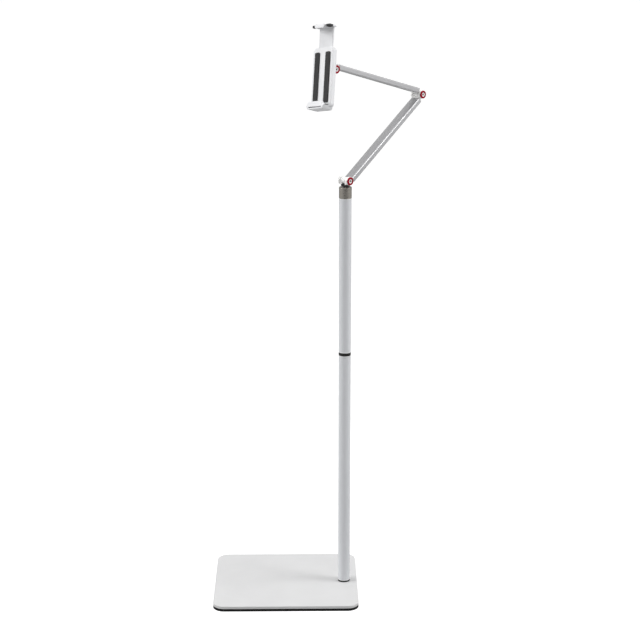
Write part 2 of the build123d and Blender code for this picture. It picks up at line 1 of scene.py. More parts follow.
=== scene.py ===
import json
from math import cos, pi, radians, sin, tan

import bpy
from mathutils import Matrix, Vector

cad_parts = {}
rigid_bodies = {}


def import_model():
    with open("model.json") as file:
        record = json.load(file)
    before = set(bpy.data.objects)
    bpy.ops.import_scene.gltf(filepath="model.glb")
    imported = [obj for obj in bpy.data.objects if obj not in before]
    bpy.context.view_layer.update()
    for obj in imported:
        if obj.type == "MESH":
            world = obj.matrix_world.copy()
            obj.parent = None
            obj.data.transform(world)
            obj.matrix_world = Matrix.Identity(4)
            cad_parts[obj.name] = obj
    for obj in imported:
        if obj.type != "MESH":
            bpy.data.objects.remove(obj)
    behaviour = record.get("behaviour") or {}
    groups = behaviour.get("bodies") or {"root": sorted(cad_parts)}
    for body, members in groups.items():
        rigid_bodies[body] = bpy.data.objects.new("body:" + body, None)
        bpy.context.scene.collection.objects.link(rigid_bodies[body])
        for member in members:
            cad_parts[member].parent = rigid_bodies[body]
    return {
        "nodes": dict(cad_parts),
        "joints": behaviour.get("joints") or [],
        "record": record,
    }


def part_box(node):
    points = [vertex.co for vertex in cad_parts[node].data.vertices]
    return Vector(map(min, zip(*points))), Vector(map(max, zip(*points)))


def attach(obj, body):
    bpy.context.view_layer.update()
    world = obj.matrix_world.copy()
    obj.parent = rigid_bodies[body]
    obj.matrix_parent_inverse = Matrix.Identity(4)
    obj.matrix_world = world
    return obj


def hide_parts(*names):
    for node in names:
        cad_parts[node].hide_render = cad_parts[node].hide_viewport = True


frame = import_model()
nodes = frame["nodes"]
joints = {joint["name"]: joint for joint in frame["joints"]}
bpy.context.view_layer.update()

# Studio: a pale sweep that the stand stands on, in a room whose side walls glow softly. A broad
# lamp hangs overhead and another is high up on each side. The lens is a little above the arms and
# tipped down to the floor.

image_size = 640
focal_pixels = 1682.561
sensor_width = 36.0
camera_place = Vector((0.028014, -3.315783, 1.473634))
camera_pitch = radians(15.05)
camera_yaw = radians(0.758)
side_lamp_aim = (0.1, 0, 0.6)
side_lamp_size = 1.6
side_lamp_power = 42
wall_starts = 0.35
wall_full = 0.95
wall_dark = 0.2
wall_bright = 0.86
back_wall_bright = 0.4
sweep_half = 5.0
sweep_rise = 4.0
sweep_bend = 2.0
sweep_bend_steps = 24
sweep_grey = 0.5
sweep_glow = 0.74

camera_data = bpy.data.cameras.new("lens")
camera_data.sensor_width = sensor_width
camera_data.lens = focal_pixels / image_size * sensor_width
camera = bpy.data.objects.new("camera", camera_data)
bpy.context.scene.collection.objects.link(camera)
camera.location = camera_place
camera.rotation_euler = (pi / 2 - camera_pitch, 0, -camera_yaw)
bpy.context.scene.camera = camera
bpy.context.scene.view_settings.view_transform = "Standard"


def pick_none():
    if bpy.context.object and bpy.context.object.mode != "OBJECT":
        bpy.ops.object.mode_set(mode="OBJECT")
    bpy.ops.object.select_all(action="DESELECT")


def soft_lamp(name, place, aim, size, power):
    lamp = bpy.data.lights.new(name, "AREA")
    lamp.shape = "DISK"
    lamp.size = size
    lamp.energy = power
    holder = bpy.data.objects.new(name, lamp)
    holder.location = place
    holder.rotation_euler = (Vector(aim) - Vector(place)).to_track_quat("-Z", "Y").to_euler()
    bpy.context.scene.collection.objects.link(holder)


soft_lamp("lamp_overhead", (0.1, 0.1, 3.6), aim=(0.1, 0, 0), size=2.4, power=48)
soft_lamp("lamp_left", (-2.4, -0.5, 2.4), side_lamp_aim, side_lamp_size, side_lamp_power)
soft_lamp("lamp_right", (2.6, -0.5, 2.4), side_lamp_aim, side_lamp_size, side_lamp_power)

world = bpy.data.worlds.new("room")
bpy.context.scene.world = world
world.use_nodes = True
room = world.node_tree
room.nodes.clear()
room_place = room.nodes.new("ShaderNodeTexCoord")
room_axes = room.nodes.new("ShaderNodeSeparateXYZ")
room_side = room.nodes.new("ShaderNodeMath")
room_side.operation = "ABSOLUTE"
room_walls = room.nodes.new("ShaderNodeMapRange")
room_walls.interpolation_type = "SMOOTHSTEP"
room_walls.inputs["From Min"].default_value = wall_starts
room_walls.inputs["From Max"].default_value = wall_full
room_walls.inputs["To Min"].default_value = wall_dark
room_walls.inputs["To Max"].default_value = wall_bright
room_back = room.nodes.new("ShaderNodeMapRange")
room_back.inputs["To Max"].default_value = back_wall_bright
room_level = room.nodes.new("ShaderNodeMath")
room_light = room.nodes.new("ShaderNodeBackground")
room_light.inputs["Color"].default_value = (1, 1, 1, 1)
room_seen = room.nodes.new("ShaderNodeBackground")
room_seen.inputs["Color"].default_value = (1, 1, 1, 1)
room_seen.inputs["Strength"].default_value = 1.0
room_path = room.nodes.new("ShaderNodeLightPath")
room_either = room.nodes.new("ShaderNodeMath")
room_either.operation = "MAXIMUM"
room_mix = room.nodes.new("ShaderNodeMixShader")
room_out = room.nodes.new("ShaderNodeOutputWorld")
room.links.new(room_place.outputs["Generated"], room_axes.inputs[0])
room.links.new(room_axes.outputs["X"], room_side.inputs[0])
room.links.new(room_side.outputs[0], room_walls.inputs["Value"])
room.links.new(room_axes.outputs["Y"], room_back.inputs["Value"])
room.links.new(room_walls.outputs["Result"], room_level.inputs[0])
room.links.new(room_back.outputs["Result"], room_level.inputs[1])
room.links.new(room_level.outputs[0], room_light.inputs["Strength"])
room.links.new(room_path.outputs["Is Camera Ray"], room_either.inputs[0])
room.links.new(room_path.outputs["Is Transmission Ray"], room_either.inputs[1])
room.links.new(room_either.outputs[0], room_mix.inputs["Fac"])
room.links.new(room_light.outputs[0], room_mix.inputs[1])
room.links.new(room_seen.outputs[0], room_mix.inputs[2])
room.links.new(room_mix.outputs[0], room_out.inputs["Surface"])

pick_none()
bpy.ops.mesh.primitive_plane_add(size=2 * sweep_half, location=(0, 0, 0))
sweep = bpy.context.object
sweep.name = "studio_sweep"
for item in (*sweep.data.vertices, *sweep.data.edges, *sweep.data.polygons):
    item.select = False
for edge in sweep.data.edges:
    ends = [sweep.data.vertices[i].co.y for i in edge.vertices]
    edge.select = min(ends) > sweep_half / 2
bpy.ops.object.mode_set(mode="EDIT")
bpy.ops.mesh.select_mode(type="EDGE")
bpy.ops.mesh.extrude_region_move(TRANSFORM_OT_translate={"value": (0, 0, sweep_rise)})
bpy.ops.object.mode_set(mode="OBJECT")
curve = sweep.modifiers.new("curve", "BEVEL")
curve.width = sweep_bend
curve.segments = sweep_bend_steps
curve.limit_method = "ANGLE"
bpy.ops.object.modifier_apply(modifier=curve.name)
bpy.ops.object.shade_smooth()

sweep_paint = bpy.data.materials.new("sweep_paint")
sweep_paint.use_nodes = True
tree = sweep_paint.node_tree
tree.nodes.clear()
base = tree.nodes.new("ShaderNodeBsdfDiffuse")
base.inputs["Color"].default_value = (sweep_grey, sweep_grey, sweep_grey, 1)
glow = tree.nodes.new("ShaderNodeEmission")
glow.inputs["Color"].default_value = (1, 1, 1, 1)
path = tree.nodes.new("ShaderNodeLightPath")
level = tree.nodes.new("ShaderNodeMath")
level.operation = "MULTIPLY"
level.inputs[1].default_value = sweep_glow
both = tree.nodes.new("ShaderNodeAddShader")
out = tree.nodes.new("ShaderNodeOutputMaterial")
tree.links.new(path.outputs["Is Camera Ray"], level.inputs[0])
tree.links.new(level.outputs[0], glow.inputs["Strength"])
tree.links.new(base.outputs[0], both.inputs[0])
tree.links.new(glow.outputs[0], both.inputs[1])
tree.links.new(both.outputs[0], out.inputs["Surface"])
sweep.data.materials.append(sweep_paint)

# Base plate: a cut steel plate with rounded corners, powder coated in pale grey, on a black
# rubber pad of the same outline that keeps it from sliding.

grain_low = 0.3
grain_high = 0.7


def new_finish(name, color, roughness, metallic=0.0):
    """A material with its shader, and the object's own coordinates for its patterns."""
    finish = bpy.data.materials.new(name)
    finish.use_nodes = True
    shader = finish.node_tree.nodes["Principled BSDF"]
    shader.inputs["Base Color"].default_value = (*color, 1)
    shader.inputs["Roughness"].default_value = roughness
    shader.inputs["Metallic"].default_value = metallic
    place = finish.node_tree.nodes.new("ShaderNodeTexCoord")
    return finish, finish.node_tree, shader, place.outputs["Object"]


def speckle(tree, where, scale, detail=2.0):
    """A grain whose values lie mostly between grain_low and grain_high."""
    grain = tree.nodes.new("ShaderNodeTexNoise")
    grain.inputs["Scale"].default_value = scale
    grain.inputs["Detail"].default_value = detail
    tree.links.new(where, grain.inputs["Vector"])
    return grain.outputs["Fac"]


def uneven_gloss(tree, shader, amount, low, high):
    """Lets a pattern run the roughness from low to high."""
    span = tree.nodes.new("ShaderNodeMapRange")
    span.inputs["From Min"].default_value = grain_low
    span.inputs["From Max"].default_value = grain_high
    span.inputs["To Min"].default_value = low
    span.inputs["To Max"].default_value = high
    tree.links.new(amount, span.inputs["Value"])
    tree.links.new(span.outputs["Result"], shader.inputs["Roughness"])


def tint(tree, shader, amount, dark, light):
    """Lets a pattern run the colour from dark to light."""
    ramp = tree.nodes.new("ShaderNodeValToRGB")
    ramp.color_ramp.elements[0].position = grain_low
    ramp.color_ramp.elements[0].color = (*dark, 1)
    ramp.color_ramp.elements[1].position = grain_high
    ramp.color_ramp.elements[1].color = (*light, 1)
    tree.links.new(amount, ramp.inputs["Fac"])
    tree.links.new(ramp.outputs["Color"], shader.inputs["Base Color"])


def relief(tree, shader, height, depth, edge=0.0004):
    """Raises a pattern by depth metres, over edges that are eased by the radius edge."""
    eased = tree.nodes.new("ShaderNodeBevel")
    eased.samples = 4
    eased.inputs["Radius"].default_value = edge
    bump = tree.nodes.new("ShaderNodeBump")
    bump.inputs["Distance"].default_value = depth
    tree.links.new(height, bump.inputs["Height"])
    tree.links.new(eased.outputs["Normal"], bump.inputs["Normal"])
    tree.links.new(bump.outputs["Normal"], shader.inputs["Normal"])


def dress(material, *names):
    """Gives the named nodes a material."""
    for name in names:
        for place in nodes[name].material_slots:
            place.material = material


powder_grey, tree, shader, where = new_finish("powder_coat_grey", (0.665, 0.665, 0.668), 0.55)
tint(tree, shader, speckle(tree, where, 14, 3), (0.65, 0.65, 0.653), (0.68, 0.68, 0.683))
uneven_gloss(tree, shader, speckle(tree, where, 60), low=0.5, high=0.62)
relief(tree, shader, speckle(tree, where, 1500, 3), depth=0.00003, edge=0.0006)
dress(powder_grey, "base_plate")

pad_rubber, tree, shader, where = new_finish("pad_rubber", (0.008, 0.008, 0.009), 0.75)
tint(tree, shader, speckle(tree, where, 90, 3), (0.006, 0.006, 0.007), (0.012, 0.012, 0.013))
shader.inputs["Specular IOR Level"].default_value = 0.25
relief(tree, shader, speckle(tree, where, 2200, 3), depth=0.00006)
dress(pad_rubber, "base_pad")

# Pole: two steel tubes with a smooth cool white coat. Each end is rolled into a narrow bead, paler
# than the coat partly as its own finish and partly as a painted highlight of the rim catching
# light, and black rings close the foot and the joint where the upper tube screws on to the lower
# one.

bead_height = 0.0019
bead_proud = 0.0002
bead_clear = 0.00002
seed_size = 0.001
merge_within = 0.000001
lathe_steps = 96


def draw_outline(name, points):
    """Draws an outline in the XZ plane from (x, z) points, by extruding one corner round it."""
    pick_none()
    bpy.ops.mesh.primitive_plane_add(size=seed_size)
    piece = bpy.context.object
    piece.name = name
    bpy.ops.object.mode_set(mode="EDIT")
    bpy.ops.mesh.select_mode(type="VERT")
    bpy.ops.mesh.select_all(action="SELECT")
    bpy.ops.mesh.merge(type="CENTER")
    bpy.ops.transform.translate(value=(points[0][0], 0, points[0][1]))
    for (x, z), (next_x, next_z) in zip(points, points[1:]):
        step = (next_x - x, 0, next_z - z)
        bpy.ops.mesh.extrude_vertices_move(TRANSFORM_OT_translate={"value": step})
    bpy.ops.mesh.select_all(action="SELECT")
    bpy.ops.mesh.remove_doubles(threshold=merge_within)
    return piece


def turn_on_lathe(name, points):
    """Spins a closed outline of (radius, height) points once round the Z axis."""
    piece = draw_outline(name, [*points, points[0]])
    bpy.ops.mesh.select_all(action="SELECT")
    bpy.ops.mesh.spin(steps=lathe_steps, angle=2 * pi, center=(0, 0, 0), axis=(0, 0, 1))
    bpy.ops.mesh.select_all(action="SELECT")
    bpy.ops.mesh.remove_doubles(threshold=merge_within)
    bpy.ops.mesh.normals_make_consistent(inside=False)
    bpy.ops.object.mode_set(mode="OBJECT")
    return piece


def only(piece):
    """Selects a piece alone and makes it the active one."""
    pick_none()
    piece.select_set(True)
    bpy.context.view_layer.objects.active = piece


def settle(piece, place, material, body, smooth=35):
    """Gives a finished piece its place, its material and the body that carries it."""
    only(piece)
    bpy.ops.object.shade_smooth_by_angle(angle=radians(smooth))
    piece.matrix_world = place
    bpy.ops.object.transform_apply(location=True, rotation=True, scale=True)
    piece.data.materials.clear()
    piece.data.materials.append(material)
    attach(piece, body)


pole_coat, tree, shader, where = new_finish("pole_coat", (0.72, 0.735, 0.76), 0.3)
tint(tree, shader, speckle(tree, where, 9, 2), (0.71, 0.725, 0.75), (0.73, 0.745, 0.77))
uneven_gloss(tree, shader, speckle(tree, where, 40), low=0.29, high=0.31)
shader.inputs["Coat Weight"].default_value = 0.5
shader.inputs["Coat Roughness"].default_value = 0.12
relief(tree, shader, speckle(tree, where, 700, 2), depth=0.000004)
dress(pole_coat, "lower_pole", "upper_pole")

# The beads' colour is lighter than the pole coat: partly the bead's own pale finish, partly a
# painted highlight standing in for light caught on the rolled rim.
bead_paint_with_painted_highlight, tree, shader, where = new_finish("bead_paint_with_painted_highlight", (0.86, 0.87, 0.88), 0.3)
tint(tree, shader, speckle(tree, where, 90, 2), (0.85, 0.86, 0.87), (0.87, 0.88, 0.89))
relief(tree, shader, speckle(tree, where, 900, 2), depth=0.00001, edge=0.0003)

pole_low, pole_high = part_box("lower_pole")
pole_middle = (Vector(pole_low) + Vector(pole_high)) / 2
pole_radius = (pole_high[0] - pole_low[0]) / 2
bead_outer = pole_radius + bead_proud
bead_outline = [
    (pole_radius + bead_clear, 0),
    (bead_outer, bead_proud),
    (bead_outer, bead_height - bead_proud),
    (pole_radius + bead_clear, bead_height),
]
bead_feet = {
    "foot_bead": pole_low[2],
    "joint_bead_lower": pole_high[2] - bead_height,
    "joint_bead_upper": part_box("upper_pole")[0][2],
    "top_bead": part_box("upper_pole")[1][2] - bead_height,
}
for name, foot in bead_feet.items():
    bead = turn_on_lathe(name, bead_outline)
    bead_place = Matrix.Translation((pole_middle.x, pole_middle.y, foot))
    settle(bead, bead_place, bead_paint_with_painted_highlight, "stand")

ring_black, tree, shader, where = new_finish("ring_black", (0.008, 0.008, 0.008), 0.24)
uneven_gloss(tree, shader, speckle(tree, where, 300), low=0.2, high=0.3)
relief(tree, shader, speckle(tree, where, 1800, 2), depth=0.00001, edge=0.0006)
dress(ring_black, "foot_ring", "pole_joint_ring")

# Collar: turned from bar and plated in a warm dull grey, with a thin groove near each end. It is
# plugged into the pole's top. The pole's plugs and fasteners are plain zinc-plated steel.

collar_radius = 0.0128
collar_edge = 0.0005
collar_height = 0.0227
collar_spigot = 0.0099
collar_bore = 0.006
collar_chamber = 0.0075
collar_bore_depth = 0.0145
groove_inset = 0.0016
groove_depth = 0.0005
groove_slope = 0.0002
groove_width = 0.0009


def groove_round(low):
    """Outline of a groove whose lower edge is at a height, from the bottom up."""
    floor = collar_radius - groove_depth
    return [
        (collar_radius, low),
        (floor, low + groove_slope),
        (floor, low + groove_width - groove_slope),
        (collar_radius, low + groove_width),
    ]


collar_metal, tree, shader, where = new_finish("collar_metal", (0.395, 0.372, 0.335), 0.34, 0.9)
tint(tree, shader, speckle(tree, where, 700, 3), (0.375, 0.352, 0.316), (0.415, 0.392, 0.354))
uneven_gloss(tree, shader, speckle(tree, where, 250), low=0.26, high=0.36)
relief(tree, shader, speckle(tree, where, 1800, 3), depth=0.00001, edge=0.0003)
spigot_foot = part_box("collar")[0][2]
collar_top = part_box("collar")[1][2]
spigot_length = collar_top - collar_height - spigot_foot
bore_floor = collar_height - collar_bore_depth
collar_outline = [
    (collar_bore, collar_height),
    (collar_bore, bore_floor),
    (collar_chamber, bore_floor),
    (collar_chamber, -spigot_length),
    (collar_spigot, -spigot_length),
    (collar_spigot, 0),
    (collar_radius - collar_edge, 0),
    (collar_radius, collar_edge),
    *groove_round(groove_inset),
    *groove_round(collar_height - groove_inset - groove_width),
    (collar_radius, collar_height - collar_edge),
    (collar_radius - collar_edge, collar_height),
]
collar = turn_on_lathe("turned_collar", collar_outline)
collar_place = Matrix.Translation((pole_middle.x, pole_middle.y, collar_top - collar_height))
settle(collar, collar_place, collar_metal, "stand", smooth=25)
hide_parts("collar")

zinc, tree, shader, where = new_finish("zinc_plate", (0.56, 0.56, 0.55), 0.33, 1.0)
tint(tree, shader, speckle(tree, where, 400, 3), (0.5, 0.5, 0.49), (0.62, 0.62, 0.6))
relief(tree, shader, speckle(tree, where, 1600, 2), depth=0.00001, edge=0.0002)
zinc_pieces = [
    piece["node"]
    for piece in frame["record"]["subparts"]
    if piece["material_slot"] == "plain_steel"
]
dress(zinc, *zinc_pieces)

bush_nylon, tree, shader, where = new_finish("bush_nylon", (0.09, 0.09, 0.09), 0.5)
relief(tree, shader, speckle(tree, where, 900, 2), depth=0.00002)
dress(bush_nylon, "swivel_bush")

# Swivel post: turned from steel and blackened. It turns in the collar's nylon bush, and its neck
# and plate show below the two white ears that are screwed on to the plate.

post_black, tree, shader, where = new_finish("post_black", (0.012, 0.012, 0.012), 0.38, 0.3)
uneven_gloss(tree, shader, speckle(tree, where, 500), low=0.32, high=0.44)
relief(tree, shader, speckle(tree, where, 1800, 2), depth=0.00001, edge=0.0003)
dress(post_black, "swivel_post", "shoulder_fork_screws")

# Moulded ends: the shoulder's ears, the arms' tongues and forks and the head behind the holder are
# moulded in white nylon with a fine satin texture. Those of the arms slide into the tubes as plugs.

moulded_white, tree, shader, where = new_finish("moulded_white", (0.9, 0.895, 0.885), 0.4)
tint(tree, shader, speckle(tree, where, 120, 2), (0.89, 0.885, 0.875), (0.91, 0.905, 0.9))
relief(tree, shader, speckle(tree, where, 2400, 2), depth=0.000012, edge=0.0007)
dress(moulded_white, "shoulder_fork", "wrist_head")
dress(moulded_white, "lower_arm_tongue", "lower_arm_fork", "upper_arm_tongue", "upper_arm_fork")

# Hinges: each has a bolt with a dark socket head in a white cap, a glossy crimson ring round the
# head, and a white thumb knob with a fluted rim on the nut at the other end.

hinge_ear = 0.0083
cap_radius = 0.0085
cap_step = 0.0041
cap_disc = 0.0051
cap_rise = 0.0018
cap_edge = 0.0006
cap_seat = 0.0063
cap_rim_gap = 0.0003
head_pocket = 0.00485
head_height = 0.004
key_hole = 0.0021
key_chamfer = 0.0004
ring_outer = 0.008
ring_thickness = 0.0027
ring_lip = 0.0044
ring_round = 0.0009
ring_fit = 0.0001
knob_face = 0.0084
knob_thickness = 0.005
knob_radius = 0.00875
knob_edge = 0.0008
knob_dish = 0.0056
knob_dish_depth = 0.0006
knob_flutes = 24
flute_radius = 0.00062
flute_sides = 16
pocket_sides = 6
pocket_turn = radians(30)
pocket_radius = 0.0051
pocket_depth = 0.0036


def hinge_place(joint, way):
    """Frame on a hinge: Z runs along its bolt, towards the ring for way 1 and the knob for -1."""
    axis = Vector(joints["shoulder_tilt"]["axis"]) * way
    swing = Vector((0, 0, 1)).cross(axis) * way
    turn = Matrix((swing, axis.cross(swing), axis)).transposed().to_4x4()
    return Matrix.Translation(Vector(joints[joint]["pos_m"])) @ turn


def cut_with(piece, cutter):
    """Takes a cutter's shape out of a piece, and the cutter away."""
    only(piece)
    cut = piece.modifiers.new("cut", "BOOLEAN")
    cut.operation = "DIFFERENCE"
    cut.object = cutter
    bpy.ops.object.modifier_apply(modifier=cut.name)
    bpy.data.objects.remove(cutter)


def copied(piece, name):
    """A copy of a piece with its own mesh."""
    twin = piece.copy()
    twin.data = piece.data.copy()
    twin.name = name
    bpy.context.scene.collection.objects.link(twin)
    return twin


head_dark, tree, shader, where = new_finish("bolt_dark", (0.05, 0.05, 0.055), 0.35, 0.9)
relief(tree, shader, speckle(tree, where, 1500, 2), depth=0.00001, edge=0.0002)
dress(head_dark, "shoulder_bolt", "elbow_bolt", "wrist_bolt")

gloss_white, tree, shader, where = new_finish("gloss_white", (0.92, 0.915, 0.9), 0.22)
tint(tree, shader, speckle(tree, where, 200, 2), (0.91, 0.905, 0.89), (0.93, 0.925, 0.915))
shader.inputs["Coat Weight"].default_value = 0.4
shader.inputs["Coat Roughness"].default_value = 0.1
relief(tree, shader, speckle(tree, where, 900, 2), depth=0.000008, edge=0.0005)

crimson, tree, shader, where = new_finish("crimson_gloss", (0.3, 0.0, 0.014), 0.3)
tint(tree, shader, speckle(tree, where, 300, 2), (0.28, 0.0, 0.012), (0.32, 0.001, 0.016))
shader.inputs["Specular IOR Level"].default_value = 0.1
relief(tree, shader, speckle(tree, where, 900, 2), depth=0.000008, edge=0.0003)

cap_top = hinge_ear + cap_step
disc_top = cap_top + cap_rise
cap_outline = [
    (key_hole, hinge_ear + head_height + ring_fit),
    (key_hole, disc_top - key_chamfer),
    (key_hole + key_chamfer, disc_top),
    (cap_disc - key_chamfer, disc_top),
    (cap_disc, disc_top - key_chamfer),
    (cap_disc, cap_top),
    (cap_radius - cap_edge, cap_top),
    (cap_radius - cap_edge / 3, cap_top - cap_edge / 3),
    (cap_radius, cap_top - cap_edge),
    (cap_radius, hinge_ear + cap_rim_gap),
    (cap_seat, hinge_ear + cap_rim_gap),
    (cap_seat, hinge_ear),
    (head_pocket, hinge_ear),
    (head_pocket, hinge_ear + head_height + ring_fit),
]
ring_top = cap_top + ring_thickness
ring_bore = cap_disc + ring_fit
ring_shoulder = [
    (ring_outer - ring_round * (1 - cos(turn)), ring_top - ring_round * (1 - sin(turn)))
    for turn in map(radians, (0, 22.5, 45, 67.5, 90))
]
ring_outline = [
    (ring_bore, cap_top),
    (ring_outer, cap_top),
    *ring_shoulder,
    (ring_lip + ring_round / 2, ring_top),
    (ring_lip, ring_top - ring_round / 3),
    (ring_lip, disc_top + ring_fit),
    (ring_bore, disc_top + ring_fit),
]
knob_back = knob_face + knob_thickness
knob_outline = [
    (0, knob_face),
    (knob_radius - knob_edge / 2, knob_face),
    (knob_radius, knob_face + knob_edge / 2),
    (knob_radius, knob_back - knob_edge),
    (knob_radius - knob_edge / 3, knob_back - knob_edge / 3),
    (knob_radius - knob_edge, knob_back),
    (knob_dish + knob_dish_depth, knob_back),
    (knob_dish, knob_back - knob_dish_depth),
    (0, knob_back - knob_dish_depth),
]
first_cap = turn_on_lathe("cap_pattern", cap_outline)
first_ring = turn_on_lathe("ring_pattern", ring_outline)
first_knob = turn_on_lathe("knob_pattern", knob_outline)
pick_none()
for count in range(knob_flutes):
    turn = 2 * pi * count / knob_flutes
    place = (knob_radius * cos(turn), knob_radius * sin(turn), knob_face)
    bpy.ops.mesh.primitive_cylinder_add(
        vertices=flute_sides, radius=flute_radius, depth=4 * knob_thickness, location=place
    )
flutes = [thing for thing in bpy.context.scene.objects if thing.name.startswith("Cylinder")]
for flute in flutes:
    flute.select_set(True)
bpy.ops.object.join()
cut_with(first_knob, bpy.context.object)
bpy.ops.mesh.primitive_cylinder_add(
    vertices=pocket_sides,
    radius=pocket_radius,
    depth=2 * pocket_depth,
    location=(0, 0, knob_face),
    rotation=(0, 0, pocket_turn),
)
cut_with(first_knob, bpy.context.object)

hinge_bodies = {
    "shoulder": ("shoulder_tilt", "swivel", "shoulder_knob"),
    "elbow": ("elbow_tilt", "lower_arm", "elbow_knob"),
    "wrist": ("wrist_tilt", "upper_arm", "wrist_knob"),
}
for hinge, (joint, body, knob_body) in hinge_bodies.items():
    cap = copied(first_cap, f"{hinge}_white_cap")
    settle(cap, hinge_place(joint, 1), gloss_white, body)
    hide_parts(f"{hinge}_cap")
    ring = copied(first_ring, f"{hinge}_crimson_ring")
    settle(ring, hinge_place(joint, 1), crimson, body)
    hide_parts(f"{hinge}_accent_ring")
    knob = copied(first_knob, f"{hinge}_thumb_knob")
    settle(knob, hinge_place(joint, -1), gloss_white, knob_body)
    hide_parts(f"{hinge}_knob")
for pattern in (first_cap, first_ring, first_knob):
    bpy.data.objects.remove(pattern)

# Arms: two flat tubes drawn in aluminium, brushed along their length and anodised silver. A screw
# from below holds each moulded end in its tube.

arm_silver = (0.55, 0.55, 0.56)
arm_roughness = 0.37
arm_edge = 0.0005
scratch_stretch = 30
scratch_scale = 2600
scratch_depth = 0.000002
scratch_shade = 0.04
scratch_gloss = 0.02
scratch_dull = 0.03


def brushed_along(name, direction):
    """Brushed aluminium whose scratches run along a direction."""
    finish, tree, shader, where = new_finish(name, arm_silver, arm_roughness, metallic=1.0)
    turn = tree.nodes.new("ShaderNodeMapping")
    turn.vector_type = "TEXTURE"
    turn.inputs["Rotation"].default_value = direction.to_track_quat("X", "Z").to_euler()
    turn.inputs["Scale"].default_value = (scratch_stretch, 1, 1)
    tree.links.new(where, turn.inputs["Vector"])
    scratches = speckle(tree, turn.outputs["Vector"], scratch_scale)
    dark = [level * (1 - scratch_shade) for level in arm_silver]
    light = [level * (1 + scratch_shade) for level in arm_silver]
    tint(tree, shader, scratches, dark, light)
    glossy = arm_roughness - scratch_gloss
    dull = arm_roughness + scratch_dull
    uneven_gloss(tree, shader, scratches, glossy, dull)
    relief(tree, shader, scratches, scratch_depth, arm_edge)
    return finish


shoulder = Vector(joints["shoulder_tilt"]["pos_m"])
elbow = Vector(joints["elbow_tilt"]["pos_m"])
wrist = Vector(joints["wrist_tilt"]["pos_m"])
dress(brushed_along("lower_arm_silver", elbow - shoulder), "lower_arm_tube")
dress(brushed_along("upper_arm_silver", wrist - elbow), "upper_arm_tube")

# Holder case: two white mouldings screwed together from behind, with two ribbed rubber strips on
# the front that grip what the holder carries.

holder_reach = 0.0325
case_middle = -0.0215
strip_place = 0.014
strip_half_width = 0.006
strip_half_height = 0.0495
strip_corner = 0.003
strip_back = -0.006
strip_root = -0.0047
strip_face = -0.004
strip_ribs = 33
strip_rib_pitch = 0.003
strip_rib_width = 0.0019

holder_axis = Vector(joints["holder_roll"]["axis"])
clamp_up = Vector(joints["jaw_slide"]["axis"])
clamp_turn = Matrix((clamp_up.cross(holder_axis), clamp_up, holder_axis)).transposed().to_4x4()
clamp_place = Matrix.Translation(wrist + holder_axis * holder_reach) @ clamp_turn
from_above = Matrix.Identity(4)
from_front = Matrix(((1, 0, 0, 0), (0, 0, 1, 0), (0, -1, 0, 0), (0, 0, 0, 1)))
from_side = Matrix(((0, 1, 0, 0), (0, 0, 1, 0), (1, 0, 0, 0), (0, 0, 0, 1)))


def rounded(corners, steps=5):
    """Points of an outline whose (across, up, radius) corners are each rounded by their radius."""
    points = []
    for count, (across, up, radius) in enumerate(corners):
        here = Vector((across, up))
        before = (Vector(corners[count - 1][:2]) - here).normalized()
        after = (Vector(corners[(count + 1) % len(corners)][:2]) - here).normalized()
        if not radius:
            points.append(tuple(here))
            continue
        half = before.angle(after) / 2
        middle = here + (before + after).normalized() * radius / sin(half)
        start = here + before * radius / tan(half) - middle
        end = here + after * radius / tan(half) - middle
        for step in range(steps + 1):
            points.append(tuple(middle + start.slerp(end, step / steps) * radius))
    return points


def slab(name, points, low, high, view):
    """Fills an outline and pulls it from a low to a high depth, as seen in a view of the clamp."""
    near, far = (-high, -low) if view is from_front else (low, high)
    piece = draw_outline(name, [*points, points[0]])
    bpy.ops.mesh.select_all(action="SELECT")
    bpy.ops.mesh.edge_face_add()
    bpy.ops.transform.translate(value=(0, near, 0))
    bpy.ops.mesh.extrude_region_move(TRANSFORM_OT_translate={"value": (0, far - near, 0)})
    bpy.ops.mesh.select_all(action="SELECT")
    bpy.ops.mesh.normals_make_consistent(inside=False)
    bpy.ops.object.mode_set(mode="OBJECT")
    only(piece)
    piece.matrix_world = view
    bpy.ops.object.transform_apply(location=True, rotation=True, scale=True)
    return piece


def joined_by(piece, other, operation):
    """Unites a piece with another, or keeps only what both share."""
    only(piece)
    meet = piece.modifiers.new("meet", "BOOLEAN")
    meet.operation = operation
    meet.object = other
    bpy.ops.object.modifier_apply(modifier=meet.name)
    bpy.data.objects.remove(other)


def mirror_across(piece):
    """Gives a piece its mirror image at the other side of the clamp."""
    only(piece)
    twin = piece.modifiers.new("twin", "MIRROR")
    twin.use_axis[0] = True
    bpy.ops.object.modifier_apply(modifier=twin.name)
    bpy.ops.object.mode_set(mode="EDIT")
    bpy.ops.mesh.select_all(action="SELECT")
    bpy.ops.mesh.normals_make_consistent(inside=False)
    bpy.ops.object.mode_set(mode="OBJECT")


def rib_line(first, count, pitch, width, root, crest):
    """Points of a ribbed face, as (depth, height) from the first rib on."""
    points = []
    for number in range(count):
        low = first + number * pitch
        points += [(root, low), (crest, low), (crest, low + width), (root, low + width)]
    return points


clamp_white, tree, shader, where = new_finish("clamp_white", (0.77, 0.775, 0.79), 0.38)
tint(tree, shader, speckle(tree, where, 120, 2), (0.76, 0.765, 0.78), (0.78, 0.785, 0.8))
relief(tree, shader, speckle(tree, where, 2400, 2), depth=0.000012, edge=0.0007)
dress(clamp_white, "rear_shell", "front_cover")
dress(zinc, "jaw_springs")

grip_rubber, tree, shader, where = new_finish("grip_rubber", (0.01, 0.01, 0.011), 0.62)
tint(tree, shader, speckle(tree, where, 300, 3), (0.007, 0.007, 0.008), (0.014, 0.014, 0.015))
relief(tree, shader, speckle(tree, where, 2600, 3), depth=0.00003)

